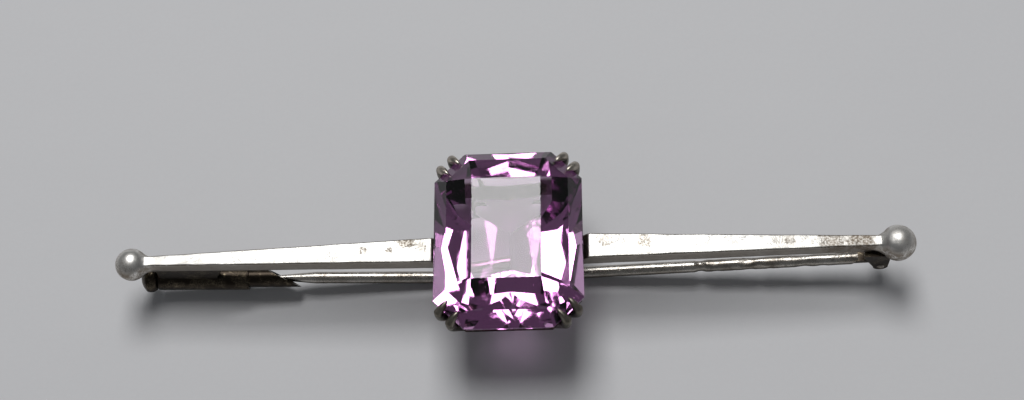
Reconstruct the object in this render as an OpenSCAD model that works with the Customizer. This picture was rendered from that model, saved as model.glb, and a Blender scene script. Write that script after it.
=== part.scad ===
// Bar brooch: a cut-corner stone in a double-claw basket, two tapered arms with
// ball ends, a bowed pin on a hinge and a tube catch with a sliding inner tube.
// The front faces +Z, the bar runs along X and the pin is hinged at the +X end.

/* [Overall] */
// Length over both end balls
overall_l = 65.7; // [56:0.2:82]
// Depth of the pin's axis below the girdle at the hinge
hinge_drop = 5.9; // [5.6:0.05:6.6]
// Depth of the catch tube's axis below the girdle
catch_drop = 6.25; // [6:0.05:7]

/* [Stone] */
// Width of the stone, along the bar
stone_w = 12; // [9:0.1:15]
// Length of the stone, across the bar
stone_l = 15.2; // [11:0.1:19]
// Size of each cut corner, measured along the sides
corner_cut = 2.45; // [1.6:0.05:3.2]
// Width of the table
table_w = 5.5; // [3.5:0.1:6.6]
// Length of the table
table_l = 8.6; // [5:0.1:9.8]
// Height of the crown above the middle of the girdle
crown_h = 2.65; // [2.1:0.05:3.2]
// Run of the crown's lower step
crown_step = 1.1; // [0.6:0.05:1.4]
// Slope of the crown's lower step
crown_slope = 48; // [40:1:56]
// Depth of the pavilion below the girdle
pavilion_h = 5.9; // [4.6:0.1:6]
// Slope of the facets that meet the girdle from below
pavilion_slope = 62; // [56:1:68]
// Fan angle of the long split facets
facet_fan = 7; // [4:1:10]
// Thickness of the girdle
girdle_t = 0.25; // [0.15:0.05:0.5]

/* [Setting] */
// Diameter of the claw wire
claw_d = 0.85; // [0.7:0.05:1.05]
// Distance between the two claws of a pair, centre to centre
claw_pitch = 1.26; // [1.22:0.02:1.7]
// Centre of the claw wire outside the girdle
claw_out = 0.36; // [0.28:0.02:0.44]
// Angle through which each claw bends over the crown
claw_bend = 55; // [40:1:62]
// Straight length of the claw's tip
claw_tip = 0.4; // [0.2:0.05:0.6]
// Depth to which the claws are let into the gallery band
claw_bite = 0.16; // [0.1:0.02:0.24]
// Wall of the gallery band
band_wall = 0.9; // [0.7:0.05:1.2]
// Top of the gallery band below the girdle
band_top = 1.1; // [0.9:0.05:1.4]
// Height of the gallery band
band_h = 1.8; // [1.4:0.05:2.2]
// Inset of the base rail from the stone's outline
base_inset = 2.8; // [2.2:0.05:3.2]
// Wall of the base rail
base_wall = 0.9; // [0.7:0.05:1.2]
// Height of the base rail
base_h = 0.8; // [0.6:0.05:1]
// Depth of the basket's foot below the girdle
basket_h = 6.75; // [6.6:0.05:6.85]

/* [Bar] */
// Drop from the girdle to the bar's front face at the setting
bar_drop = 1.64; // [1.3:0.02:1.9]
// Further drop of the front face from the setting to the necks
bar_bow = 0.72; // [0.2:0.02:1]
// Width of each arm at the setting
arm_w = 2.2; // [1.8:0.05:2.8]
// Width of each arm at the neck
neck_w = 0.94; // [0.8:0.02:1.2]
// Thickness of each arm at the setting
arm_t = 1.5; // [1.2:0.05:1.8]
// Thickness of each arm at the neck
neck_t = 1.36; // [1:0.02:1.5]
// Bevel at the inner end of each arm
arm_bevel = 0.6; // [0.3:0.05:0.8]
// Diameter of the left ball
ball_left_d = 2.68; // [2.2:0.02:2.8]
// Diameter of the right ball
ball_right_d = 2.94; // [2.4:0.02:3.2]
// Radius of the filed sweep between ball and neck
neck_sweep = 2.2; // [1.4:0.1:3]

/* [Catch] */
// Outer end of the catch tube, from the end of the brooch
catch_in = 2.9; // [2.8:0.1:5]
// Tilt of the catch, sloping away from the bar towards the pin
catch_tilt = 3.8; // [2:0.1:4]
// Length of the catch tube
tube_l = 7.6; // [6:0.1:9]
// Outer diameter of the catch tube
tube_d = 2; // [1.8:0.05:2.1]
// Outer diameter of the sliding tube
slider_d = 1.56; // [1.4:0.02:1.6]
// Wall of the sliding tube
slider_wall = 0.17; // [0.12:0.01:0.2]
// Reach of the sliding tube beyond the catch tube, on its long side
slider_out = 4.4; // [3.6:0.1:5]
// Difference between the long and short sides of the slanted mouth
mouth_slant = 3; // [0:0.1:3]
// Turn of the slanted mouth about the tube
mouth_turn = 24; // [0:1:180]
// Travel of the slider
travel = 4.7; // [4.2:0.1:5]
// Diameter of the slider's rod
rod_d = 0.9; // [0.6:0.05:1]
// Length of the guide collar
collar_l = 0.8; // [0.5:0.05:1]
// Diameter of the knob
knob_d = 2.9; // [2.2:0.05:3]
// Thickness of the knob's rim
knob_rim = 0.45; // [0.3:0.05:0.6]
// Height of the knob's dome
knob_dome = 1; // [0.6:0.05:1.1]
// Length of the bracket
bracket_l = 5.2; // [4:0.1:6]
// Thickness of the bracket
bracket_t = 0.9; // [0.7:0.05:1]

/* [Pin] */
// Diameter of the pin wire
pin_d = 1.05; // [0.8:0.01:1.1]
// Place of the pin's bend along the bar, from the middle
pin_bend_x = -1.6; // [-4:0.1:2]
// Radius of the pin's bend
pin_bend_r = 76; // [40:1:100]
// Length of the sharpened point
point_l = 5.2; // [4.5:0.1:8]
// Distance from the hinge to the end of the pin wire
tongue_l = 2.15; // [1.8:0.05:3]
// Thickness of the tongue
tongue_t = 0.5; // [0.4:0.05:0.6]
// Width of the tongue and its eye
tongue_w = 0.8; // [0.6:0.05:1]
// Diameter of the eye
eye_d = 1.2; // [1:0.05:1.3]

/* [Hinge] */
// Distance from the end of the brooch to the hinge
hinge_in = 2.6; // [2.6:0.02:3.2]
// Diameter of the rivet
rivet_d = 0.5; // [0.4:0.02:0.6]
// Thickness of each ear
ear_t = 0.45; // [0.35:0.05:0.6]
// Thickness of the joint's back plate
plate_t = 0.4; // [0.3:0.05:0.5]

/* [Clearances] */
// Gap at a soldered or set seam
seam_gap = 0.02; // [0.01:0.005:0.04]
// Radial clearance of the sliding and turning fits
run_gap = 0.03; // [0.02:0.005:0.05]
// Side clearance of the eye between the ears
side_gap = 0.05; // [0.03:0.01:0.1]

/* [Hidden] */
$fn = 64;
far = 60;
silver = [0.80, 0.79, 0.76];
dark_silver = [0.52, 0.50, 0.46];

// Outline of the stone: half sizes and the reach of a cut corner
half_w = stone_w / 2;
half_l = stone_l / 2;
corner_reach = (half_w + half_l - corner_cut) / sqrt(2);
corner_half = corner_cut / sqrt(2);
half_girdle = girdle_t / 2;

// Crown: the lower step ends at step_z and the upper step ends at the table
step_z = half_girdle + crown_step * tan(crown_slope);
table_reach = (table_w + table_l) / 2 / sqrt(2);

// Pavilion: split facets to mid depth, then flat ones down to the keel
mid_depth = pavilion_h * 0.5;
mid_share = 0.66;
keel_half = (stone_l - stone_w) / 2;

// Claws, in the plane that stands square to a cut corner: straight up from the
// basket's foot, bent upright just below the girdle and bent again over the crown
bend_r = claw_d * 0.6;
shoulder_z = 0.25;
upright_z = -0.2;
side_r = claw_d * 2;
side_in = claw_out + base_inset;
side_drop = basket_h + upright_z;
side_reach = norm([side_r - side_in, side_drop]);
claw_lean = atan2(side_drop, side_r - side_in) - acos(side_r / side_reach);
side_run = sqrt(side_reach * side_reach - side_r * side_r);

// The straight lengths of a claw are a hair thinner than its bends and sink into them
leg_thin = 0.01;
leg_sink = 0.1;
tip_sink = 0.05;

// Gallery band: parallel to the pavilion, and placed by what the claws sink into it
lean_from = side_r * sin(claw_lean) - upright_z;
band_inset = (band_top - lean_from) * tan(claw_lean) + side_r * (1 - cos(claw_lean))
    + claw_d / 2 / cos(claw_lean) - claw_out - claw_bite;

// Bar: the arms reach under the stone to the band and end where the necks begin
arm_in_x = half_w - 0.2;
arm_tuck = 1.4;
half_overall = overall_l / 2;
mid_neck_x = half_overall - ball_right_d;
function face_z(x) = -bar_drop - bar_bow * (x - arm_in_x) / (mid_neck_x - arm_in_x);
function bar_t(x) = arm_t + (neck_t - arm_t) * (x - arm_in_x) / (mid_neck_x - arm_in_x);
function under_z(x) = face_z(x) - bar_t(x);
function bar_w(x) = arm_w + (neck_w - arm_w) * (x - arm_in_x) / (mid_neck_x - arm_in_x);
function ball_x(d) = half_overall - d / 2;
function ball_z(d) = face_z(ball_x(d)) - bar_t(ball_x(d)) / 2;
function sweep_seat(d) = d / 2 - 0.02;
function sweep_run(d) =
    sqrt(pow(sweep_seat(d) + neck_sweep, 2) - pow(neck_w / 2 + neck_sweep, 2));
function neck_x(d) = ball_x(d) - sweep_run(d);

// Hinge and catch places
hinge_x = half_overall - hinge_in;
catch_x = -half_overall + catch_in;
slider_bore = slider_d - 2 * slider_wall;
tube_bore = slider_d + 2 * run_gap;
slider_start = collar_l + travel;
slider_end = tube_l + slider_out;
point_x = tube_l + 0.5;
ear_half = tongue_w / 2 + side_gap + ear_t;

// Pin: in line with the catch tube as far as the bend, then straight to the tongue.
// The heel is a hair thinner than the wire and sinks into the end of the bend.
wire_end_x = hinge_x - tongue_l;
wire_end_z = -hinge_drop - 0.2;
bend_z = -catch_drop - (pin_bend_x - catch_x) * tan(catch_tilt);
pin_rise = atan2(wire_end_z - bend_z, wire_end_x - pin_bend_x);
pin_turn = catch_tilt + pin_rise;
bend_run = pin_bend_r * tan(pin_turn / 2);
heel_d = pin_d - 0.02;
heel_sink = 0.3;
bend_start = (pin_bend_x - catch_x) / cos(catch_tilt) - bend_run;
bend_centre = [
    pin_bend_x - bend_run * cos(catch_tilt) + pin_bend_r * sin(catch_tilt),
    bend_z + bend_run * sin(catch_tilt) + pin_bend_r * cos(catch_tilt)
];

// The lowest point of the pin stands at zero
girdle_z = pin_bend_r + pin_d / 2 - bend_centre[1];

module lift() translate([0, 0, girdle_z]) children();

// Half-space inside a plane that leans up (slope > 0) or down (slope < 0) inwards
module keep_inside(turn, reach, level, slope)
    rotate([0, 0, turn])
        translate([reach, 0, level])
            rotate([0, slope > 0 ? slope - 90 : slope + 90, 0])
                translate([-far, -far / 2, -far / 2])
                    cube(far);

// Cut-corner rectangle, inset evenly from the stone's outline
module outline(inset) {
    w = half_w - inset;
    l = half_l - inset;
    c = corner_cut - inset * (2 - sqrt(2));
    polygon([
        [w, l - c], [w - c, l], [c - w, l], [-w, l - c],
        [-w, c - l], [c - w, -l], [w - c, -l], [w, c - l]
    ]);
}

// Crown facets of one side: [turn, reach, level, slope]
function crown_rows(turn, reach, table) = [
    [turn, reach, half_girdle, crown_slope],
    [turn, reach - crown_step, step_z,
        atan((crown_h - step_z) / (reach - crown_step - table))]
];

// Facets below the girdle that the setting touches
function seat_rows(turn, reach, edge, fan) =
    let (
        fan_reach = reach * cos(fan) + edge * sin(fan),
        fan_slope = -atan(mid_depth / (fan_reach - reach * mid_share * cos(fan)))
    ) [
        [turn, reach, -half_girdle, -pavilion_slope],
        for (s = [-1, 1]) [turn + s * fan, fan_reach, -half_girdle, fan_slope]
    ];

// Facets from mid depth to the keel
function keel_row(turn, reach, keel) = [
    turn, reach * mid_share, -half_girdle - mid_depth,
    -atan((pavilion_h - mid_depth) / (reach * mid_share - keel))
];

// Every side: [turn, reach, half edge, table reach, keel reach, fan]
sides = [
    for (turn = [0, 180]) [turn, half_w, half_l - corner_cut, table_w / 2, 0, facet_fan],
    for (turn = [90, 270])
        [turn, half_l, half_w - corner_cut, table_l / 2, keel_half, facet_fan + 3],
    for (turn = [45, 135, 225, 315])
        [turn, corner_reach, corner_half, table_reach, keel_half / sqrt(2), facet_fan + 4]
];
crown_facets = [for (s = sides) each crown_rows(s[0], s[1], s[3])];
seat_facets = [for (s = sides) each seat_rows(s[0], s[1], s[2], s[5])];
keel_facets = [for (s = sides) keel_row(s[0], s[1], s[4])];

module cut_by(facets, grow)
    intersection_for (f = facets)
        keep_inside(f[0], f[1] + grow, f[2], f[3]);

// Stone, grown evenly so that the setting can be cut to fit it
module seat_shape(grow)
    intersection() {
        translate([0, 0, -pavilion_h])
            linear_extrude(pavilion_h + crown_h) outline(-grow);
        cut_by(seat_facets, grow);
    }

module stone()
    color([0.60, 0.40, 0.78])
        lift()
            intersection() {
                translate([0, 0, -pavilion_h - half_girdle])
                    linear_extrude(pavilion_h + half_girdle + crown_h) outline(0);
                cut_by(crown_facets, 0);
                cut_by(seat_facets, 0);
                cut_by(keel_facets, 0);
            }

// Places its child at a claw, with +X facing out of the cut corner
module at_claw(i) {
    sx = i <= 4 ? -1 : 1;
    sy = i <= 2 || i > 6 ? 1 : -1;
    side = i % 2 == 0 ? 1 : -1;
    translate([
        sx * (half_w - corner_cut / 2),
        sy * (half_l - corner_cut / 2),
        0
    ])
        rotate([0, 0, atan2(sy, sx)])
            translate([0, side * claw_pitch / 2, 0])
                children();
}

// Arc of round wire in the XZ plane, from angle a to angle b
module wire_arc(radius, wire_r, a, b)
    rotate([90, 0, 0])
        rotate([0, 0, a])
            rotate_extrude(angle = b - a)
                translate([radius, 0])
                    circle(wire_r);

// Core that runs across the joint of two lengths of one wire
module joint_core(d)
    cylinder(h = d / 4, d = d / 2, center = true);

// Side of a claw, from the basket's foot up to the shoulder
module claw_side(grow = 0) {
    wire_r = claw_d / 2 + grow;
    translate([claw_out - side_r, 0, upright_z]) {
        mirror([0, 0, 1])
            wire_arc(side_r, wire_r, 0, claw_lean);
        rotate([0, claw_lean, 0])
            translate([side_r, 0, -side_run - claw_d / 2])
                cylinder(h = side_run + claw_d / 2 + leg_sink, r = wire_r - leg_thin);
    }
    translate([claw_out, 0, upright_z]) {
        cylinder(h = shoulder_z - upright_z, r = wire_r);
        joint_core(claw_d);
    }
}

// Tip of a claw, bent over the crown
module claw_top() {
    end_x = claw_out - bend_r + bend_r * cos(claw_bend);
    end_z = shoulder_z + bend_r * sin(claw_bend);
    translate([claw_out - bend_r, 0, shoulder_z])
        wire_arc(bend_r, claw_d / 2, 0, claw_bend);
    translate([end_x, 0, end_z])
        rotate([0, -claw_bend, 0]) {
            translate([0, 0, -tip_sink])
                cylinder(h = tip_sink + claw_tip, d = claw_d - 2 * leg_thin);
            translate([0, 0, claw_tip])
                sphere(d = claw_d - 4 * leg_thin);
        }
}

// The stone's own planes at one cut corner, down to mid depth
module corner_shape(grow)
    intersection() {
        keep_inside(0, grow, half_girdle, crown_slope);
        keep_inside(0, grow, -half_girdle, -pavilion_slope);
        translate([-far + grow, -far / 2, -mid_depth])
            cube(far);
    }

module claw(i)
    color(dark_silver)
        lift()
            at_claw(i)
                difference() {
                    union() {
                        claw_side();
                        claw_top();
                    }
                    corner_shape(seam_gap);
                    translate([-far / 2, -far / 2, -far - basket_h])
                        cube(far);
                }

// Room for all the claws' sides
module claw_sides()
    for (i = [1:8])
        at_claw(i)
            claw_side(seam_gap);

// Outside of the gallery band, leaning in downwards with no end
module band_shape(grow)
    cut_by([for (s = sides) [s[0], s[1] - band_inset, -band_top, -pavilion_slope]], grow);

module gallery_band()
    color(dark_silver)
        lift()
            difference() {
                intersection() {
                    band_shape(0);
                    translate([-far / 2, -far / 2, -band_top - band_h])
                        cube([far, far, band_h]);
                }
                band_shape(-band_wall);
                claw_sides();
                seat_shape(seam_gap);
            }

module base_rail()
    color(dark_silver)
        lift()
            difference() {
                translate([0, 0, -basket_h])
                    linear_extrude(base_h)
                        difference() {
                            outline(base_inset);
                            outline(base_inset + base_wall);
                        }
                claw_sides();
            }

// Bar of the arm's own section between two stations, along +X, from the sides
// given by the outline of its front and under faces
module bar_piece(x0, x1, profile)
    intersection() {
        rotate([90, 0, 0])
            translate([0, 0, -far / 2])
                linear_extrude(far)
                    polygon(profile);
        translate([0, 0, -far / 2])
            linear_extrude(far)
                polygon([
                    [x0, bar_w(x0) / 2], [x1, bar_w(x1) / 2],
                    [x1, -bar_w(x1) / 2], [x0, -bar_w(x0) / 2]
                ]);
    }

// Arm with its bevelled inner end and the tuck below it that meets the band
module arm_shape(d)
    difference() {
        x0 = arm_in_x - arm_tuck;
        x1 = neck_x(d);
        bar_piece(x0, x1, [
            [x0, face_z(arm_in_x) - arm_bevel], [arm_in_x, face_z(arm_in_x) - arm_bevel],
            [arm_in_x + arm_bevel, face_z(arm_in_x + arm_bevel)],
            [x1, face_z(x1)], [x1, under_z(x1)], [x0, under_z(x0)]
        ]);
        band_shape(seam_gap);
    }

// Ball with a swept neck that takes up the bar's section
module ball_shape(d) {
    run = sweep_run(d);
    rise = neck_w / 2 + neck_sweep;
    share = sweep_seat(d) / (sweep_seat(d) + neck_sweep);
    x0 = neck_x(d);
    x1 = ball_x(d);
    bar_piece(x0, x1, [
        [x0, face_z(x0)], [x1, face_z(x1)], [x1, under_z(x1)], [x0, under_z(x0)]
    ]);
    translate([ball_x(d), 0, ball_z(d)]) {
        sphere(d = d);
        rotate([0, -90, 0])
            rotate_extrude()
                difference() {
                    translate([0, run * share])
                        square([rise * share, run * (1 - share)]);
                    translate([rise, run])
                        circle(neck_sweep);
                }
    }
}

module arm_left()
    color(silver)
        lift()
            mirror([1, 0, 0])
                arm_shape(ball_left_d);

module arm_right()
    color(silver)
        lift()
            arm_shape(ball_right_d);

module ball_left()
    color(silver)
        lift()
            mirror([1, 0, 0])
                ball_shape(ball_left_d);

module ball_right()
    color(silver)
        lift()
            ball_shape(ball_right_d);

// Frame of the catch: origin at the tube's outer end, +X along the tube
module on_catch()
    translate([catch_x, 0, -catch_drop])
        rotate([0, catch_tilt, 0])
            children();

// Cylinder along the catch from x0 to x1
module along(x0, x1, d)
    translate([x0, 0, 0])
        rotate([0, 90, 0])
            cylinder(h = x1 - x0, d = d);

module catch_bracket()
    color(dark_silver)
        lift()
            difference() {
                x0 = -catch_x - 0.3;
                x1 = x0 - bracket_l;
                mirror([1, 0, 0])
                    rotate([90, 0, 0])
                        translate([0, 0, -bracket_t / 2])
                            linear_extrude(bracket_t)
                                polygon([
                                    [x0, -catch_drop], [x1 + 0.5, -catch_drop - 0.3],
                                    [x1 + 0.3, -catch_drop + tube_d / 2],
                                    [x1 - 0.5, under_z(x1) - seam_gap],
                                    [x0, under_z(x0) - seam_gap]
                                ]);
                on_catch()
                    along(-far / 2, far / 2, tube_d + 2 * seam_gap);
                translate([-far / 2, -far / 2, -far - catch_drop])
                    cube(far);
            }

module catch_tube()
    color(dark_silver)
        lift()
            on_catch()
                difference() {
                    along(0, tube_l, tube_d);
                    along(-1, tube_l + 1, tube_bore);
                }

module catch_collar()
    color(dark_silver)
        lift()
            on_catch()
                difference() {
                    along(0, collar_l, tube_bore - 2 * seam_gap);
                    along(-1, collar_l + 1, rod_d + 2 * run_gap);
                }

module slider_tube()
    color(dark_silver)
        lift()
            on_catch()
                difference() {
                    along(slider_start + run_gap, slider_end, slider_d);
                    along(0, slider_end + 1, slider_bore);
                    rotate([mouth_turn, 0, 0])
                        translate([slider_end - mouth_slant / 2, 0, 0])
                            rotate([0, 0, atan(mouth_slant / slider_d)])
                                translate([0, -far / 2, -far / 2])
                                    cube(far);
                }

module slider_rod()
    color(dark_silver)
        lift()
            on_catch() {
                along(-run_gap, slider_start + run_gap, rod_d);
                along(slider_start + run_gap, slider_start + 0.8, slider_bore - 2 * seam_gap);
            }

module slider_knob()
    color(dark_silver)
        lift()
            on_catch() {
                dome_r = (knob_d * knob_d / 4 + knob_dome * knob_dome) / (2 * knob_dome);
                back = -2 * run_gap;
                along(back - knob_rim, back, knob_d);
                intersection() {
                    translate([back - knob_rim - knob_dome + dome_r, 0, 0])
                        sphere(r = dome_r);
                    along(back - knob_rim - knob_dome, back - knob_rim, knob_d);
                }
            }

// Round bar across the hinge, centred on its axis
module across(d, w)
    translate([hinge_x, 0, -hinge_drop])
        rotate([90, 0, 0])
            cylinder(h = w, d = d, center = true);

// Plate across the hinge from an outline in the XZ plane
module plate_across(w, points)
    rotate([90, 0, 0])
        translate([0, 0, -w / 2])
            linear_extrude(w)
                polygon(points);

module hinge_ears()
    color(dark_silver)
        lift()
            difference() {
                r = eye_d / 2;
                top = under_z(hinge_x - 1.5) - seam_gap;
                union() {
                    across(eye_d, 2 * ear_half);
                    plate_across(2 * ear_half, [
                        [hinge_x - r, -hinge_drop], [hinge_x + r, -hinge_drop],
                        [hinge_x + r, top], [hinge_x - 1.5, top],
                        [hinge_x - 1.5, top - plate_t]
                    ]);
                }
                translate([hinge_x - far / 2, -tongue_w / 2 - side_gap, top - plate_t - far])
                    cube([far, tongue_w + 2 * side_gap, far]);
                across(rivet_d + 2 * seam_gap, far);
                translate([0, 0, -seam_gap])
                    ball_shape(ball_right_d);
                arm_shape(ball_right_d);
            }

module hinge_rivet()
    color(silver)
        lift() {
            head_h = 0.18;
            head_r = rivet_d * 0.66;
            across(rivet_d, 2 * ear_half + 2 * seam_gap);
            for (s = [-1, 1])
                translate([hinge_x, s * (ear_half + seam_gap), -hinge_drop])
                    rotate([-90 * s, 0, 0])
                        intersection() {
                            cap_r = (head_r * head_r + head_h * head_h) / (2 * head_h);
                            translate([0, 0, head_h - cap_r])
                                sphere(r = cap_r);
                            cylinder(h = head_h, r = head_r);
                        }
        }

// Tongue from inside the slotted wire end to the eye
module tongue_shape(grow)
    plate_across(tongue_w + 2 * grow, [
        [wire_end_x - 1.4 - grow, wire_end_z - tongue_t / 2 - grow],
        [hinge_x, -hinge_drop - tongue_t / 2 - grow],
        [hinge_x, -hinge_drop + tongue_t / 2 + grow],
        [wire_end_x - 1.4 - grow, wire_end_z + tongue_t / 2 + grow]
    ]);

module pin_tongue()
    color(silver)
        lift()
            difference() {
                union() {
                    tongue_shape(0);
                    across(eye_d, tongue_w);
                }
                across(rivet_d + 2 * run_gap, far);
            }

module pin_stem()
    color(silver)
        lift()
            difference() {
                tip_r = 0.09;
                union() {
                    on_catch()
                        translate([point_x, 0, 0]) {
                            sphere(r = tip_r);
                            rotate([0, 90, 0])
                                cylinder(h = point_l, r1 = tip_r, r2 = pin_d / 2);
                            along(point_l, bend_start - point_x, pin_d);
                            translate([bend_start - point_x, 0, 0])
                                rotate([0, 90, 0])
                                    joint_core(pin_d);
                        }
                    translate([bend_centre[0], 0, bend_centre[1]])
                        wire_arc(pin_bend_r, pin_d / 2, -90 - catch_tilt, -90 + pin_rise);
                    translate([wire_end_x, 0, wire_end_z])
                        rotate([0, -pin_rise, 0])
                            along(
                                bend_run - heel_sink
                                    - norm([wire_end_x - pin_bend_x, wire_end_z - bend_z]),
                                pin_d, heel_d
                            );
                }
                tongue_shape(seam_gap);
                translate([wire_end_x, 0, wire_end_z])
                    rotate([0, 40, 0])
                        translate([0, -far / 2, -far / 2])
                            cube(far);
            }

stone();
gallery_band();
base_rail();
for (i = [1:8])
    claw(i);
arm_left();
arm_right();
ball_left();
ball_right();
catch_bracket();
catch_tube();
catch_collar();
slider_tube();
slider_rod();
slider_knob();
hinge_ears();
hinge_rivet();
pin_tongue();
pin_stem();
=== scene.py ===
import random
from math import atan2, cos, hypot, pi, radians, sin, sqrt, tan

import bmesh
import bpy
from mathutils import Matrix, Vector


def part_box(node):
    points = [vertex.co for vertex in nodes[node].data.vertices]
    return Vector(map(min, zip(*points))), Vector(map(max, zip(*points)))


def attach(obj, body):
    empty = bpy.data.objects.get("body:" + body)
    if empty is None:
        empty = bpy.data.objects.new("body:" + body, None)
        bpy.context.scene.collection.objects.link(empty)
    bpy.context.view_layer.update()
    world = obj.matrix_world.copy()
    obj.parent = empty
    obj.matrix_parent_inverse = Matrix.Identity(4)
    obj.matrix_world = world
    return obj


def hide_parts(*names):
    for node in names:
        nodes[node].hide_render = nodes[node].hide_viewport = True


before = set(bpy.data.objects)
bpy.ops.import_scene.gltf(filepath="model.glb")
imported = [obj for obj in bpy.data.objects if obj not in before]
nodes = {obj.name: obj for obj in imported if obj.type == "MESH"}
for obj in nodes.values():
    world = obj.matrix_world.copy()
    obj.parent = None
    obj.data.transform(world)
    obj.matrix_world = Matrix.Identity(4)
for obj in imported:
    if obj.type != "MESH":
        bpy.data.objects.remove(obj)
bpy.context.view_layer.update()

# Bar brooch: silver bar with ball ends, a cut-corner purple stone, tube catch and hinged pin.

scene = bpy.context.scene

# ---------------------------------------------------------------- sizes

# Lengths are in millimetres and angles in degrees. Heights count from the girdle's middle.
MM = 0.001

# Stone: half sizes, the planes of its cut corners, and the room left round it
STONE_HALF_W = 6
STONE_HALF_L = 7.6
CORNER_CUT = 2.45
CROWN_H = 2.65
GIRDLE_HALF = 0.125
CROWN_SLOPE = 48
PAVILION_SLOPE = 62
PAVILION_TURN_Z = -2.9
STONE_GAP = 0.022
girdle_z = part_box("stone")[1].z - CROWN_H * MM

# Bar: half length over the balls, arms that taper outwards, and the filed necks
HALF_BAR = 32.85
BALL_LEFT_D = 2.68
BALL_RIGHT_D = 2.94
ARM_IN = 5.8
ARM_RUN = 24.11
ARM_W = 2.2
ARM_W_FALL = 1.26
ARM_DEPTH = 1.5
ARM_DEPTH_FALL = 0.14
FACE_Z = -1.64
FACE_FALL = 0.72
BEVEL = 0.6
NECK_HALF = 0.47
NECK_SWEEP = 2.2
NECK_MELT = 0.3
BALL_SINK = 0.02

# The arm's inner end follows the leaning gallery band
BAND_HALF_W = 5.786
BAND_TOP_Z = -1.1
BAND_LEAN = 0.5317
BAND_GAP = 0.03

# Wear on the bar: how far its faces are rubbed down, and how round its edges are
FACE_WEAR = 0.008
SIDE_WEAR = 0.012
UNDER_WEAR = 0.015
EDGE_R = 0.13
EDGE_WAVER = 0.03

# Rings of the bar: round its bevel (from the arm's inner end), along it, and round the ball
BEVEL_RINGS = (-1.1, -0.55, -0.2, -0.05, 0.03, 0.3, 0.54, BEVEL + 0.04, 0.8)
ARM_STEP = 0.4
NECK_STEP = 0.11
BALL_STEP = 5
BALL_LAST = 88.5
SIDE_STEPS = 6
CORNER_STEPS = 5

# Claws: round wire outside the cut corner, a leaning leg below and a tapered tip above
CLAW_R = 0.425
CLAW_OUT = 0.36
CLAW_LEAN = 28.03
CLAW_BEND_R = 1.7
CLAW_PITCH = 1.26
CLAW_SIDES = 22
CLAW_WEAR = 0.02
LEG_WEAR = 0.02
BEND_WEAR = 0.015
UPRIGHT_WEAR = 0.012
UPRIGHT_Z = -0.2
FOOT_Z = -6.75
SHOULDER_Z = 0.25
SHOULDER_R = 0.51
SHOULDER_TURN = 55
SHOULDER_TAPER = 0.09
TIP_L = 0.74
TIP_TAPER = 0.35
TIP_ROUND = 2.2
TIP_SEAT = 0.02
LEG_STEPS = 15
BEND_STEPS = 8
UPRIGHT_STEPS = 5
SHOULDER_STEPS = 8
TIP_STEPS = 10

# Tube catch: outer end of its tube, and the tilt that it shares with the pin's straight start
CATCH_X = -29.95
CATCH_Z = -6.25
CATCH_TILT = radians(3.8)

# Pin: in line with the catch, one long bend, then straight to the wire's slanted end
PIN_R = 0.525
PIN_WEAR = 0.035
PIN_WAVER = 0.01
POINT_START = 8.1
POINT_LEAD = 0.09
POINT_L = 5.2
POINT_R = 0.02
PIN_BEND_X = -1.6
PIN_BEND_R = 76
WIRE_END_X = 28.1
WIRE_END_Z = -6.1
WIRE_END_SLANT = 40
WIRE_END_GAP = 0.02
WIRE_OVERRUN = 0.6
PIN_SIDES = 28
PIN_BEND_STEPS = 24
POINT_STEP = 0.12
BEATEN_STEP = 0.1
PLAIN_STEP = 0.5

# Wear on the pin: a nick, and hammer marks from there to the wire's end
NICK_X = 15.6
NICK_HALF_W = 0.6
NICK_DEPTH = 0.17
BEATEN_RAMP = 0.25
BEATEN_SWELL = 0.012
DENT_DEPTH = 0.10
DENT_ROWS = 6

# The slot that holds the tongue in the wire's end
SLOT_HALF_W = 0.425
SLOT_HALF_H = 0.275
SLOT_REACH = 0.48
SLOT_LIFT = 0.075
SLOT_DEPTH = 1.43

# Pull knob: a disc with a domed end, rounded over by wear
KNOB_R = 1.45
KNOB_DOME = 1.0
KNOB_RIM = 0.45
KNOB_GAP = 0.06
KNOB_WEAR = 0.01
KNOB_WORN_R = 1.20
KNOB_WORN_HALF = 0.80
KNOB_STEPS = 22
KNOB_SIDES = 40

# Rounding of the sharp edges on pieces that keep their plain solids
EDGES = {
    "catch_bracket": 0.08, "gallery_band": 0.05, "base_rail": 0.06, "hinge_ears": 0.04,
    "catch_tube": 0.03,
}
EDGE_ANGLE = 35
WELD_GAP = 0.0005

# Floor: half its side, and the hair it lies below the brooch
FLOOR_HALF = 1500
FLOOR_DROP = 0.01

# Window light and camera: both aim at points level with the girdle
WINDOW_ELEVATION = 67
WINDOW_AZIMUTH = 188
WINDOW_DISTANCE = 600
WINDOW_W = 235
WINDOW_L = 360
WINDOW_GLOW = 8.2
ROOM_GLOW = 0.11
CAMERA_AIM = (0.319, 3.453)
CAMERA_ELEVATION = 65.704
CAMERA_AZIMUTH = 8.039
CAMERA_DISTANCE = 140
CAMERA_ROLL = -0.268
LENS = 60.70

# ---------------------------------------------------------------- colours


def rgb(r, g, b):
    return (r, g, b, 1)


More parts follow.
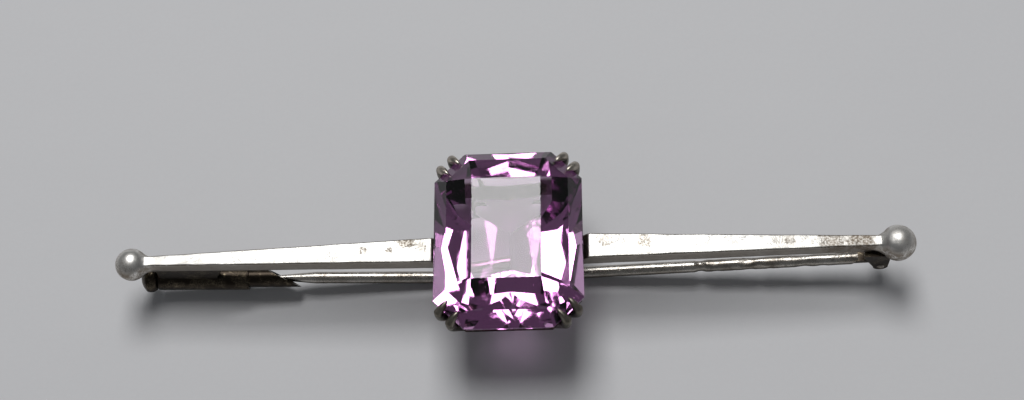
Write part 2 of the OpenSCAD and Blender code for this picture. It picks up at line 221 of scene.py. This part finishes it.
SILVER = rgb(0.74, 0.73, 0.70)
SILVER_SHADE = rgb(0.60, 0.58, 0.54)
# Brown tarnish film, also the colour of the painted shade on the bar's undersides, edges and ball
# rims.
BROWN_FILM_AND_SHADE = rgb(0.17, 0.13, 0.09)
BALL_SILVER = rgb(0.88, 0.86, 0.82)
SCRATCH_BROWN = rgb(0.10, 0.085, 0.07)
PIN_SILVER = rgb(0.66, 0.63, 0.58)
PIN_SHADE = rgb(0.42, 0.38, 0.33)
# Dark film on the pin, also the colour of the painted shade under it.
PIN_FILM_AND_SHADE = rgb(0.07, 0.055, 0.04)
CLAW_SILVER = rgb(0.66, 0.60, 0.52)
CLAW_DARK = rgb(0.032, 0.028, 0.019)
CATCH_SILVER = rgb(0.42, 0.35, 0.24)
CATCH_DARK = rgb(0.024, 0.020, 0.017)
STONE_PALE = rgb(0.98, 0.95, 1.0)
STONE_LILAC = rgb(0.95, 0.88, 0.98)
STONE_DEPTH = rgb(0.80, 0.30, 0.74)
PAPER_SHADE = rgb(0.70, 0.70, 0.72)
PAPER_PALE = rgb(0.78, 0.78, 0.79)
ROOM = rgb(0.93, 0.96, 1.0)

# ---------------------------------------------------------------- material maths


class Value:
    """Something that varies over a surface. Sums on it add Math nodes."""

    def __init__(self, finish, socket):
        self.finish = finish
        self.socket = socket

    def math(self, operation, *terms):
        return self.finish.node("Math", {"operation": operation}, dict(enumerate(terms)))

    def __add__(self, other):
        return self.math("ADD", self, other)

    def __radd__(self, other):
        return self.math("ADD", other, self)

    def __sub__(self, other):
        return self.math("SUBTRACT", self, other)

    def __rsub__(self, other):
        return self.math("SUBTRACT", other, self)

    def __mul__(self, other):
        return self.math("MULTIPLY", self, other)

    def __rmul__(self, other):
        return self.math("MULTIPLY", other, self)

    def __abs__(self):
        return self.math("ABSOLUTE", self)

    def least(self, other):
        return self.math("MINIMUM", self, other)

    def most(self, other):
        return self.math("MAXIMUM", self, other)

    def rise(self, low, high):
        """0 below low, 1 above high, smooth between them."""
        return self.finish.node(
            "MapRange", {"interpolation_type": "SMOOTHSTEP"},
            {"Value": self, "From Min": low, "From Max": high},
        )

    def fall(self, low, high):
        """1 below low, 0 above high."""
        return 1 - self.rise(low, high)


class Finish:
    """One material, built node by node. Patterns are laid out in millimetres."""

    # How far a pattern moves for each material's seed and for each draw within it
    SEED_SHIFT = (7.3, 5.9, 0)
    DRAW_SHIFT = (3.1, 0, 2.7)

    def __init__(self, name, seed=0):
        self.material = bpy.data.materials.new(name)
        self.material.use_nodes = True
        self.tree = self.material.node_tree
        self.tree.nodes.clear()
        self.seed = seed
        self.draws = 1
        self.place = self.node("TexCoord", out="Object")

    def node(self, kind, settings=None, sockets=None, out=0):
        made = self.tree.nodes.new("ShaderNode" + kind)
        for name, value in (settings or {}).items():
            setattr(made, name, value)
        for name, value in (sockets or {}).items():
            if isinstance(value, Value):
                self.tree.links.new(value.socket, made.inputs[name])
            else:
                made.inputs[name].default_value = value
        return Value(self, made.outputs[out]) if made.outputs else None

    def millimetres(self, turn=(0, 0, 0)):
        """The piece's own coordinates in millimetres, turned about its origin."""
        return self.node(
            "Mapping", {}, {"Vector": self.place, "Rotation": turn, "Scale": (1 / MM,) * 3}
        )

    def stretch(self, scale, turn=(0, 0, 0)):
        """Coordinates in millimetres, turned, scaled along each axis and moved by the seed."""
        self.draws += 1
        shift = tuple(
            by_seed * self.seed + by_draw * self.draws
            for by_seed, by_draw in zip(self.SEED_SHIFT, self.DRAW_SHIFT)
        )
        return self.node(
            "Mapping", {}, {"Vector": self.millimetres(turn), "Scale": scale, "Location": shift}
        )

    def noise(self, scale, detail=3, rough=0.5, vector=None):
        return self.node(
            "TexNoise", {},
            {
                "Vector": vector or self.stretch((1, 1, 1)), "Scale": scale,
                "Detail": detail, "Roughness": rough,
            },
        )

    def lines(self, turn, density, length, width):
        """Fine straight scratches across the face, 1 on a scratch and 0 off it."""
        drawn = self.noise(
            1, detail=1,
            vector=self.stretch((density, 1 / length, density), (0, 0, radians(turn))),
        )
        broken = self.noise(0.9, detail=2).rise(0.48, 0.6)
        return abs(drawn - 0.5).fall(0, width) * broken

    def pits(self, scale, size):
        """Small round pits that come in groups."""
        spots = self.node(
            "TexVoronoi", {"feature": "F1"},
            {"Vector": self.stretch((1, 1, 1)), "Scale": scale, "Randomness": 1.0},
        )
        return spots.fall(size * 0.4, size) * self.noise(0.8).rise(0.5, 0.6)

    def blot(self, centre, reach):
        """Ragged patch round a point given in millimetres."""
        away = self.node(
            "VectorMath", {"operation": "DISTANCE"},
            {0: self.millimetres(), 1: centre}, out="Value",
        )
        ragged = away + (self.noise(1.6, detail=5, rough=0.7) - 0.5) * (2.4 * reach)
        return ragged.fall(reach * 0.45, reach)

    def axis(self, name):
        return self.node("SeparateXYZ", {}, {0: self.millimetres()}, out=name)

    def upward(self):
        """How far the surface faces up, from -1 to 1."""
        return self.node("SeparateXYZ", {}, {0: self.node("TexCoord", out="Normal")}, out="Z")

    def blend(self, factor, a, b):
        return self.node(
            "Mix", {"data_type": "RGBA", "blend_type": "MIX", "clamp_result": False},
            {0: factor, 6: a, 7: b}, out=2,
        )

    def bump(self, height, strength, depth):
        return self.node(
            "Bump", {}, {"Height": height, "Strength": strength, "Distance": depth * MM}
        )

    def surface(self, sockets, volume=None):
        ends = {"Surface": self.node("BsdfPrincipled", {}, sockets)}
        if volume:
            ends["Volume"] = volume
        self.node("OutputMaterial", {}, ends)
        return self.material


# ---------------------------------------------------------------- finishes


def worn_silver(
    name, seed, bright, shade, film, polish, wear, tarnish, blots=(), beaten=None, balls=None
):
    """Old silver: scratches all over, pits, brown tarnish in patches, and painted shade in its film
    colour.

    blots are extra patches of tarnish (centre, reach, strength). beaten is where hammer marks
    start along the piece, and balls is where its ball begins, from the middle outwards.
    """
    f = Finish(name, seed)
    cloud = f.noise(0.35, detail=5, rough=0.6)
    fine = f.noise(6, detail=4, rough=0.65)
    scratches = (
        f.lines(12, 9, 4, 0.035)
        .most(f.lines(-38, 12, 3, 0.03))
        .most(f.lines(71, 10, 3, 0.03))
    )
    hair = f.lines(84, 30, 2, 0.12)
    pits = f.pits(1.5, 0.16)
    stain = cloud.rise(1 - tarnish, 1.15 - tarnish) * fine.rise(0.35, 0.62)
    for centre, reach, strength in blots:
        stain = stain.most(f.blot(centre, reach) * (0.35 + 0.65 * fine.rise(0.38, 0.6)) * strength)
    if beaten:
        along = f.axis("X").rise(beaten, beaten + 0.4)
        mottle = f.noise(1.3, detail=5, rough=0.75).rise(0.46, 0.66)
        stain = stain.most(along * mottle * 0.6)
    marks = (scratches * 0.7).most(pits)
    colour = f.blend(stain * 0.9, f.blend(cloud.rise(0.35, 0.65), bright, shade), film)
    up = f.upward()
    if balls:
        ball = abs(f.axis("X")).rise(*balls)
        colour = f.blend(ball * (1 - stain * 0.7), colour, BALL_SILVER)
        # Painted shade: the bar's sloping faces, its rounded edges and inner bevel, darken to the
        # film colour in patches.
        sloped_shade = up.rise(0.15, 0.45) * up.fall(0.80, 0.98) * (1 - ball) * fine.rise(0.3, 0.5)
        colour = f.blend(sloped_shade * 0.75, colour, film)
        # Painted shade: faces turned sideways or down darken to the film colour, half as much on the
        # balls.
        colour = f.blend(up.fall(0.05, 0.55) * (1 - ball * 0.5) * 0.68, colour, film)
        # Painted shade: the balls darken to the film colour in mottled patches where they turn
        # sideways and down; the same patches dent the bump.
        shaded_rim = ball * up.fall(0.3, 0.92) * f.noise(1.2, detail=6, rough=0.8).rise(0.40, 0.54)
        colour = f.blend(shaded_rim * 0.85, colour, film)
    else:
        # Painted shade: the pin's lower sides and underside darken almost to the film colour.
        colour = f.blend(up.fall(-0.05, 0.7) * 0.95, colour, film)
    colour = f.blend((marks * wear).least(1), colour, SCRATCH_BROWN)
    rough = polish + 0.12 * (fine - 0.5) + 0.16 * stain + 0.12 * hair * wear + 0.10 * scratches
    height = 0.5 * f.noise(2.2) + 0.16 * fine - scratches * 0.5 - pits * 1.4 - stain * 0.3
    if balls:
        height = height + ball * (3.0 * f.noise(1.0, detail=4, rough=0.6) - 1.6 * shaded_rim)
    return f.surface({
        "Base Color": colour, "Metallic": 1.0, "Roughness": rough,
        "Normal": f.bump(height, 0.5 * wear, 0.03),
    })


def thin_film(colour):
    """The same dark film where it is thinner and browner."""
    return rgb(colour[0] * 1.9, colour[1] * 1.75, colour[2] * 1.5)


def dark_setting(name, seed, bright, dark, spread, tips=False):
    """Oxidised silver: dark film worn through in places and on the claws' tips, and painted light on
    the +Y claws.
    """
    f = Finish(name, seed)
    cloud = f.noise(0.9, detail=5, rough=0.65)
    fine = f.noise(9, detail=4, rough=0.7)
    rubbed_and_lit = cloud.rise(spread, spread + 0.22) * fine.rise(0.3, 0.65)
    if tips:
        # Worn claw ends above the girdle, and painted light: the claws on the +Y side, towards the
        # window, get far more bright silver.
        crown = f.axis("Z").rise(girdle_z / MM + 0.1, girdle_z / MM + 0.7)
        rubbed_and_lit = rubbed_and_lit.most(crown * (0.35 + 0.5 * f.axis("Y").rise(-2, 2)) * fine.rise(0.2, 0.5))
    scratches = f.lines(20, 12, 3, 0.04).most(f.lines(-60, 14, 3, 0.04))
    film = f.blend(fine, dark, thin_film(dark))
    colour = f.blend(rubbed_and_lit.most(scratches * 0.5), film, bright)
    rough = 0.36 - 0.08 * rubbed_and_lit + 0.16 * (fine - 0.5)
    height = 0.4 * cloud + 0.25 * fine - scratches * 0.4 + rubbed_and_lit * 0.1
    return f.surface({
        "Base Color": colour, "Metallic": 1.0, "Roughness": rough,
        "Normal": f.bump(height, 0.35, 0.03),
    })


def cut_stone(name, seed):
    """Faceted purple glass with light zoning and hairline wear on the facets."""
    f = Finish(name, seed)
    zone = f.noise(0.16, detail=2)
    hair = f.lines(33, 16, 3, 0.02).most(f.lines(-52, 20, 3, 0.02))
    haze = f.noise(1.1, detail=4).rise(0.5, 0.8)
    tint = f.blend(zone.rise(0.35, 0.7), STONE_PALE, STONE_LILAC)
    volume = f.node("VolumeAbsorption", {}, {"Color": STONE_DEPTH, "Density": 95.0})
    return f.surface({
        "Base Color": tint, "Roughness": 0.004 + 0.03 * hair + 0.012 * haze,
        "IOR": 1.58, "Transmission Weight": 1.0,
        "Normal": f.bump(hair, 0.04, 0.004),
    }, volume)


def paper(name, seed):
    """Pale paper with a soft fibre and a slight cockle."""
    f = Finish(name, seed)
    fibre = f.noise(2.4, detail=6, rough=0.7)
    broad = f.noise(0.02, detail=2)
    colour = f.blend(fibre * 0.5 + broad * 0.5, PAPER_SHADE, PAPER_PALE)
    return f.surface({
        "Base Color": colour, "Roughness": 0.85,
        "Normal": f.bump(fibre * 0.4 + f.noise(0.12, detail=2) * 6, 0.35, 0.05),
    })


bar_finish = worn_silver(
    "bar_silver", 1, SILVER, SILVER_SHADE, BROWN_FILM_AND_SHADE, polish=0.36, wear=0.6, tarnish=0.22,
    blots=[
        ((-8.6, 0.95, 6.8), 1.0, 1.0), ((-7.2, 0.3, 6.8), 0.6, 0.5),
        ((-12.0, 0.2, 6.6), 0.4, 0.9), ((-9.8, 0.1, 6.7), 0.4, 0.9),
        ((7.7, 0.5, 6.8), 0.8, 0.7), ((10.9, 0.3, 6.7), 0.8, 0.7),
        ((22.6, 0.1, 6.3), 0.7, 0.7), ((26.0, 0.1, 6.2), 1.5, 0.9),
        ((28.4, 0.2, 6.2), 1.6, 1.0), ((31.6, 0.4, 6.6), 1.2, 0.7),
        ((-32.0, -0.6, 6.2), 1.1, 0.8),
    ],
    balls=(29.2, 30.4),
)
pin_finish = worn_silver(
    "pin_silver", 4, PIN_SILVER, PIN_SHADE, PIN_FILM_AND_SHADE, polish=0.26, wear=0.7, tarnish=0.36,
    beaten=NICK_X,
)
setting_finish = dark_setting("claw_silver", 5, CLAW_SILVER, CLAW_DARK, spread=0.55, tips=True)
catch_finish = dark_setting("catch_silver", 6, CATCH_SILVER, CATCH_DARK, spread=0.57)
stone_finish = cut_stone("purple_stone", 7)

CLAWS = range(1, 9)
finished = [
    (stone_finish, ["stone"]),
    (bar_finish, ["arm_left", "arm_right", "ball_left", "ball_right"]),
    (pin_finish, ["pin_stem", "hinge_rivet"]),
    (setting_finish, ["gallery_band", "base_rail"] + [f"claw_{number}" for number in CLAWS]),
    (catch_finish, [
        "catch_bracket", "catch_tube", "catch_collar", "slider_tube", "slider_rod",
        "slider_knob", "hinge_ears", "pin_tongue",
    ]),
]
for finish, names in finished:
    for name in names:
        for slot in nodes[name].material_slots:
            slot.material = finish

# ---------------------------------------------------------------- shaped pieces


class Wander:
    """Smooth seeded unevenness along a length, between -1 and 1."""

    def __init__(self, seed, wavelength):
        draw = random.Random(seed)
        self.waves = [
            (2 * pi / (wavelength * draw.uniform(0.5, 2.2)), draw.uniform(0, 2 * pi))
            for _ in range(4)
        ]

    def at(self, x):
        return sum(sin(rate * x + phase) for rate, phase in self.waves) / len(self.waves)


def between(value, low, high):
    return min(max(value, low), high)


def round_points(count, radius):
    """Pairs of sideways and upward steps round a circle, from the top."""
    turns = [2 * pi * step / count for step in range(count)]
    return [(radius * sin(turn), radius * cos(turn)) for turn in turns]


def skin(name, rings, finish, body, slot_name, *replaced):
    """Closed piece through rings of points, with a fan of faces over each end."""
    shape = bmesh.new()
    rows = [
        [shape.verts.new((x * MM, y * MM, z * MM + girdle_z)) for x, y, z in ring]
        for ring in rings
    ]
    count = len(rows[0])
    for low, high in zip(rows, rows[1:]):
        for i in range(count):
            j = (i + 1) % count
            shape.faces.new((low[i], low[j], high[j], high[i]))
    for row in (rows[0], rows[-1]):
        middle = shape.verts.new(sum((v.co for v in row), Vector()) / count)
        for i in range(count):
            shape.faces.new((row[i], row[(i + 1) % count], middle))
    bmesh.ops.recalc_face_normals(shape, faces=shape.faces)
    for face in shape.faces:
        face.smooth = True
    made = bpy.data.meshes.new(name)
    shape.to_mesh(made)
    shape.free()
    made.materials.append(finish)
    piece = bpy.data.objects.new(name, made)
    scene.collection.objects.link(piece)
    even = piece.modifiers.new("even_shading", "WEIGHTED_NORMAL")
    even.weight = 50
    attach(piece, body)
    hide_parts(*replaced)
    return piece


def face_z(x):
    """Height of the bar's front face, which falls towards the balls."""
    return FACE_Z - FACE_FALL * (x - ARM_IN) / ARM_RUN


def bar_depth(x):
    return ARM_DEPTH - ARM_DEPTH_FALL * (x - ARM_IN) / ARM_RUN


def bar_width(x):
    return ARM_W - ARM_W_FALL * (x - ARM_IN) / ARM_RUN


def soft_rectangle(a, b, corner):
    """Points round a rectangle of half sizes a and b with rounded corners."""
    points = []
    for quarter, (sy, sz) in enumerate([(1, 1), (-1, 1), (-1, -1), (1, -1)]):
        for step in range(CORNER_STEPS):
            turn = radians(90 * (quarter + step / (CORNER_STEPS - 1)))
            points.append((
                sy * (a - corner) + corner * cos(turn), sz * (b - corner) + corner * sin(turn)
            ))
        start = points[-1]
        ends = [(-(a - corner), b), (-a, -(b - corner)), (a - corner, -b), (a, b - corner)]
        for step in range(1, SIDE_STEPS):
            share = step / SIDE_STEPS
            points.append(tuple(p + (q - p) * share for p, q in zip(start, ends[quarter])))
    return points


def bar_stations(ball_x, radius, run):
    """Places along the bar: close round the bevel and the neck, then by angle round the ball."""
    places = [ARM_IN + off for off in BEVEL_RINGS]
    while places[-1] < ball_x - run - ARM_STEP:
        places.append(places[-1] + ARM_STEP)
    while places[-1] < ball_x - 0.1:
        places.append(places[-1] + NECK_STEP)
    places = [x for x in places if x < ball_x - 0.05]
    turns = [*range(0, int(BALL_LAST), BALL_STEP), BALL_LAST]
    return places + [ball_x + radius * sin(radians(turn)) for turn in turns]


def bar(side, ball_d, name, seed):
    """One arm with its neck and ball, from under the stone outwards. side is -1 or 1."""
    radius = ball_d / 2
    ball_x = HALF_BAR - radius
    ball_z = face_z(ball_x) - bar_depth(ball_x) / 2
    seat = radius - BALL_SINK
    run = sqrt((seat + NECK_SWEEP) ** 2 - (NECK_HALF + NECK_SWEEP) ** 2)
    share = seat / (seat + NECK_SWEEP)
    top_waver, side_waver, edge_waver = Wander(seed, 6), Wander(seed + 1, 8), Wander(seed + 2, 3)

    def turned(x):
        """Radius of the ball and its sweep at a station."""
        away = ball_x - x
        if away > run:
            return 0
        if away > run * share:
            return NECK_HALF + NECK_SWEEP - sqrt(NECK_SWEEP ** 2 - (run - away) ** 2)
        return sqrt(max(radius ** 2 - away ** 2, 0))

    rings = []
    # The unevenness is offset so that wear only ever takes metal away
    for x in bar_stations(ball_x, radius, run):
        inner = between((x - ARM_IN) / BEVEL, 0, 1)
        bevelled = face_z(max(x, ARM_IN)) - BEVEL * (1 - inner)
        top = bevelled + FACE_WEAR * (top_waver.at(x) - 1.2)
        under = face_z(x) - bar_depth(x) + UNDER_WEAR
        a = bar_width(x) / 2 - SIDE_WEAR * (1.1 + side_waver.at(x))
        b = (top - under) / 2
        middle = (top + under) / 2
        off = middle - ball_z
        ball_r = turned(x)
        ring = []
        for y, z in soft_rectangle(a, b, EDGE_R + EDGE_WAVER * edge_waver.at(x)):
            reach = hypot(y, z)
            dy, dz = y / reach, z / reach
            inside = ball_r ** 2 - off ** 2 * dy ** 2
            to_ball = -off * dz + sqrt(inside) if inside > 0 else 0
            if x > ball_x:
                far = max(to_ball, 0.01)
            else:
                near = max(NECK_MELT - abs(reach - to_ball), 0) if to_ball > 0 else 0
                far = max(reach, to_ball) + near ** 2 / (4 * NECK_MELT) * 0.5
            pz = middle + dz * far
            inner_end = BAND_HALF_W - (BAND_TOP_Z - pz) * BAND_LEAN + BAND_GAP
            ring.append((side * max(x, inner_end), dy * far, pz))
        rings.append(ring)
    return skin(
        name, rings, bar_finish, "frame", "silver",
        name.replace("bar", "arm"), name.replace("bar", "ball"),
    )


bar(-1, BALL_LEFT_D, "bar_left", 11)
bar(1, BALL_RIGHT_D, "bar_right", 21)


def claw_line():
    """Stations of a claw, square to its cut corner: out, up and radius."""
    lean = radians(CLAW_LEAN)
    over = radians(SHOULDER_TURN)
    foot_x = CLAW_OUT - CLAW_BEND_R * (1 - cos(lean))
    foot_z = UPRIGHT_Z - CLAW_BEND_R * sin(lean)
    leg = (foot_z - FOOT_Z) / cos(lean)
    line = []
    for step in range(LEG_STEPS):
        back = leg * (1 - step / LEG_STEPS)
        line.append((foot_x - back * sin(lean), foot_z - back * cos(lean), CLAW_R - LEG_WEAR))
    for step in range(BEND_STEPS):
        turn = lean * (1 - step / BEND_STEPS)
        line.append((
            CLAW_OUT - CLAW_BEND_R * (1 - cos(turn)), UPRIGHT_Z - CLAW_BEND_R * sin(turn),
            CLAW_R - BEND_WEAR,
        ))
    for step in range(UPRIGHT_STEPS):
        up = UPRIGHT_Z + (SHOULDER_Z - UPRIGHT_Z) * step / UPRIGHT_STEPS
        line.append((CLAW_OUT, up, CLAW_R - UPRIGHT_WEAR))
    for step in range(SHOULDER_STEPS + 1):
        turn = over * step / SHOULDER_STEPS
        line.append((
            CLAW_OUT - SHOULDER_R * (1 - cos(turn)), SHOULDER_Z + SHOULDER_R * sin(turn),
            CLAW_R - BEND_WEAR - SHOULDER_TAPER * step / SHOULDER_STEPS,
        ))
    end_x, end_z, end_r = line[-1]
    for step in range(1, TIP_STEPS + 1):
        share = step / TIP_STEPS
        far = TIP_L * share
        blunt = sqrt(max(1 - share ** TIP_ROUND, 0.004))
        line.append((
            end_x - far * sin(over), end_z + far * cos(over), end_r * blunt * (1 - TIP_TAPER * share)
        ))
    return line


def over_crown(out, up):
    """How far a point stands off the crown plane of a cut corner."""
    crown = radians(CROWN_SLOPE)
    return out * sin(crown) + (up - GIRDLE_HALF) * cos(crown)


def clear_of_stone(out, up):
    """Pushes a point out of the stone's cut corner, a hair beyond its planes."""
    crown, pavilion = radians(CROWN_SLOPE), radians(PAVILION_SLOPE)
    under_pavilion = out * sin(pavilion) - (up + GIRDLE_HALF) * cos(pavilion)
    gap, push_out, push_up = max([
        (out, 1, 0),
        (over_crown(out, up), sin(crown), cos(crown)),
        (under_pavilion, sin(pavilion), -cos(pavilion)),
    ])
    if gap >= STONE_GAP or up < PAVILION_TURN_Z:
        return out, up
    short = STONE_GAP - gap
    return out + short * push_out, up + short * push_up


def claw(number):
    """One claw wire. 1 to 4 stand on the left, and 1, 2, 7 and 8 at the upper corners."""
    sx = -1 if number <= 4 else 1
    sy = 1 if number <= 2 or number > 6 else -1
    waver, lean_waver = Wander(40 + number, 1.6), Wander(60 + number, 5)
    thinner = CLAW_WEAR * abs(lean_waver.at(0.5))
    crown = radians(CROWN_SLOPE)
    line = claw_line()
    rings = []
    for station, (out, up, radius) in enumerate(line):
        before = line[max(station - 1, 0)]
        after = line[min(station + 1, len(line) - 1)]
        turn = atan2(after[0] - before[0], after[1] - before[1])
        if up > SHOULDER_Z:
            drop = max(over_crown(out, up) - radius - TIP_SEAT, 0)
            out, up = out - drop * sin(crown), up - drop * cos(crown)
        radius = radius * (1 - CLAW_WEAR * (1 + waver.at(up)) - thinner)
        ring = []
        for across, along in round_points(CLAW_SIDES, radius):
            point_out, point_up = out + along * cos(turn), up - along * sin(turn)
            if station == 0:
                point_up = FOOT_Z
            point_out, point_up = clear_of_stone(point_out, max(point_up, FOOT_Z))
            ring.append((point_out, across, point_up))
        rings.append(ring)
    # The cut corner faces diagonally outwards; the pair stands either side of its middle
    middle_x, middle_y = sx * (STONE_HALF_W - CORNER_CUT / 2), sy * (STONE_HALF_L - CORNER_CUT / 2)
    ox, oy = sx / sqrt(2), sy / sqrt(2)
    tx, ty = -oy, ox
    low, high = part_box(f"claw_{number}")
    off_x = (low.x + high.x) / 2 / MM - middle_x
    off_y = (low.y + high.y) / 2 / MM - middle_y
    shift = CLAW_PITCH / 2 if off_x * tx + off_y * ty > 0 else -CLAW_PITCH / 2
    placed = [
        [(
            middle_x + ox * out + tx * (across + shift),
            middle_y + oy * out + ty * (across + shift), up,
        ) for out, across, up in ring]
        for ring in rings
    ]
    return skin(
        f"claw_wire_{number}", placed, setting_finish, "frame", "dark_silver", f"claw_{number}"
    )


for number in CLAWS:
    claw(number)


def pin_line():
    """Stations of the pin: along, up, its slope and the distance from the tip."""
    bend_z = CATCH_Z - (PIN_BEND_X - CATCH_X) * tan(CATCH_TILT)
    rise = atan2(WIRE_END_Z - bend_z, WIRE_END_X - PIN_BEND_X)
    run = PIN_BEND_R * tan((CATCH_TILT + rise) / 2)
    start = (PIN_BEND_X - CATCH_X) / cos(CATCH_TILT) - run
    line = []

    def add(x, z, slope):
        far = 0.0
        if line:
            far = line[-1][3] + hypot(x - line[-1][0], z - line[-1][1])
        line.append((x, z, slope, far))

    reach = POINT_START - POINT_LEAD
    while reach < start:
        add(CATCH_X + reach * cos(CATCH_TILT), CATCH_Z - reach * sin(CATCH_TILT), -CATCH_TILT)
        reach += POINT_STEP if reach < POINT_START + POINT_L + PLAIN_STEP else PLAIN_STEP
    centre_x = PIN_BEND_X - run * cos(CATCH_TILT) + PIN_BEND_R * sin(CATCH_TILT)
    centre_z = bend_z + run * sin(CATCH_TILT) + PIN_BEND_R * cos(CATCH_TILT)
    for step in range(PIN_BEND_STEPS + 1):
        slope = -CATCH_TILT + (CATCH_TILT + rise) * step / PIN_BEND_STEPS
        add(centre_x + PIN_BEND_R * sin(slope), centre_z - PIN_BEND_R * cos(slope), slope)
    x = line[-1][0]
    while x < WIRE_END_X + WIRE_OVERRUN:
        x += BEATEN_STEP if x > NICK_X - 1 else PLAIN_STEP
        add(x, WIRE_END_Z + (x - WIRE_END_X) * tan(rise), rise)
    return line


def wire_end(z):
    """How far along the wire's slanted end is at a height."""
    return WIRE_END_X - WIRE_END_GAP + (z - WIRE_END_Z) * tan(radians(WIRE_END_SLANT))


def pin():
    """The pin wire: a point, a nick, a hammered length and a slotted end."""
    dents = [Wander(80 + row, 2.6) for row in range(DENT_ROWS)]
    waver = Wander(77, 7)
    rings = []
    for x, z, slope, far in pin_line():
        taper = min(far / POINT_L, 1)
        radius = POINT_R + (PIN_R - PIN_WEAR - PIN_WAVER * (1 + waver.at(x))) * taper
        beaten = between((x - NICK_X) / BEATEN_RAMP, 0, 1)
        nick = 0.0
        if abs(x - NICK_X) <= NICK_HALF_W:
            nick = (1 + cos(pi * (x - NICK_X) / NICK_HALF_W)) / 2
        ring = []
        for side, up in round_points(PIN_SIDES, 1):
            angle = atan2(side, up)
            dented = sum(
                max(dent.at(x + row), 0) * max(cos(angle - 2 * pi * row / DENT_ROWS), 0) ** 4
                for row, dent in enumerate(dents)
            )
            r = radius + BEATEN_SWELL * beaten - DENT_DEPTH * beaten * dented
            r -= NICK_DEPTH * nick * (0.45 + 0.55 * max(cos(angle + 0.7), 0))
            pz = z + r * up * cos(slope)
            ring.append((min(x - r * up * sin(slope), wire_end(pz)), r * side, pz))
        rings.append(ring)
    # The slot that holds the tongue runs back into the wire's end
    mouth = []
    for _, py, pz in rings[-1]:
        spread = atan2(py, pz - WIRE_END_Z)
        scale = min(
            SLOT_HALF_W / max(abs(sin(spread)), 1e-6), SLOT_HALF_H / max(abs(cos(spread)), 1e-6),
            SLOT_REACH,
        )
        z = WIRE_END_Z + SLOT_LIFT + scale * cos(spread)
        mouth.append((wire_end(z), scale * sin(spread), z))
    rings.append(mouth)
    rings.append([(WIRE_END_X - SLOT_DEPTH, y, z - SLOT_LIFT) for _, y, z in mouth])
    return skin("pin_wire", rings, pin_finish, "pin", "silver", "pin_stem")


pin()


def knob():
    """Domed pull knob, turned and rounded over by wear."""
    thick = KNOB_DOME + KNOB_RIM
    curve = (KNOB_R ** 2 + KNOB_DOME ** 2) / (2 * KNOB_DOME)
    rings = []
    for step in range(KNOB_STEPS + 1):
        t = 0.02 + (thick - 0.03) * step / KNOB_STEPS
        turned = sqrt(2 * curve * t - t * t) if t < KNOB_DOME else KNOB_R
        bulge = abs((t - KNOB_WORN_HALF) / KNOB_WORN_HALF) ** 2.6
        r = min(turned - KNOB_WEAR, KNOB_WORN_R * sqrt(max(1 - bulge, 0.02)))
        reach = t - thick - KNOB_GAP
        rings.append([
            (
                CATCH_X + reach * cos(CATCH_TILT) + up * sin(CATCH_TILT), side,
                CATCH_Z - reach * sin(CATCH_TILT) + up * cos(CATCH_TILT),
            )
            for side, up in round_points(KNOB_SIDES, r)
        ])
    return skin("pull_knob", rings, catch_finish, "slider", "dark_silver", "slider_knob")


knob()

# ---------------------------------------------------------------- worn edges

for name, width in EDGES.items():
    weld = nodes[name].modifiers.new("join_edges", "WELD")
    weld.merge_threshold = WELD_GAP * MM
    worn = nodes[name].modifiers.new("worn_edges", "BEVEL")
    worn.width = width * MM
    worn.segments = 3
    worn.limit_method = "ANGLE"
    worn.angle_limit = radians(EDGE_ANGLE)
    worn.harden_normals = True

# ---------------------------------------------------------------- floor, light, camera


def plate(name, half, height):
    """Flat square grid, given by half its side and its height above the origin."""
    made = bpy.data.meshes.new(name)
    shape = bmesh.new()
    bmesh.ops.create_grid(shape, x_segments=8, y_segments=8, size=half * MM)
    bmesh.ops.translate(shape, verts=shape.verts, vec=(0, 0, height * MM))
    shape.to_mesh(made)
    shape.free()
    piece = bpy.data.objects.new(name, made)
    scene.collection.objects.link(piece)
    return piece


floor = plate("floor", FLOOR_HALF, -FLOOR_DROP)
floor.data.materials.append(paper("pale_floor", 3))


def aimed(obj, place, target, roll=0.0):
    """Puts a lamp or the camera at a place, looking at the target with +Y up."""
    back = (place - target).normalized()
    side = Vector((0, 1, 0)).cross(back).normalized()
    rise = back.cross(side)
    x = cos(roll) * side + sin(roll) * rise
    y = -sin(roll) * side + cos(roll) * rise
    turn = Matrix((x, y, back)).transposed().to_4x4()
    obj.matrix_world = Matrix.Translation(place) @ turn
    scene.collection.objects.link(obj)


def direction(elevation, azimuth):
    """Unit vector up from the floor: azimuth 0 is towards -Y, and it turns towards +X."""
    e, a = radians(elevation), radians(azimuth)
    return Vector((sin(a) * cos(e), -cos(a) * cos(e), sin(e)))


def window():
    """One soft window, as bright all over as its glow whatever its size."""
    width, length = WINDOW_W * MM, WINDOW_L * MM
    lamp = bpy.data.lights.new("window", "AREA")
    lamp.shape = "RECTANGLE"
    lamp.size, lamp.size_y = width, length
    lamp.energy = WINDOW_GLOW * pi * width * length
    target = Vector((0, 0, girdle_z))
    place = target + direction(WINDOW_ELEVATION, WINDOW_AZIMUTH) * (WINDOW_DISTANCE * MM)
    aimed(bpy.data.objects.new("window", lamp), place, target)


def room():
    """Faint even light from all round."""
    world = bpy.data.worlds.new("room")
    world.use_nodes = True
    around = world.node_tree.nodes["Background"].inputs
    around["Color"].default_value = ROOM
    around["Strength"].default_value = ROOM_GLOW
    scene.world = world
    scene.view_settings.view_transform = "Standard"


def front_camera():
    lens = bpy.data.cameras.new("camera")
    lens.sensor_width = 36
    lens.lens = LENS
    lens.clip_start = 0.01
    camera = bpy.data.objects.new("camera", lens)
    target = Vector((CAMERA_AIM[0] * MM, CAMERA_AIM[1] * MM, girdle_z))
    place = target + direction(CAMERA_ELEVATION, CAMERA_AZIMUTH) * (CAMERA_DISTANCE * MM)
    aimed(camera, place, target, radians(CAMERA_ROLL))
    scene.camera = camera


window()
room()
front_camera()
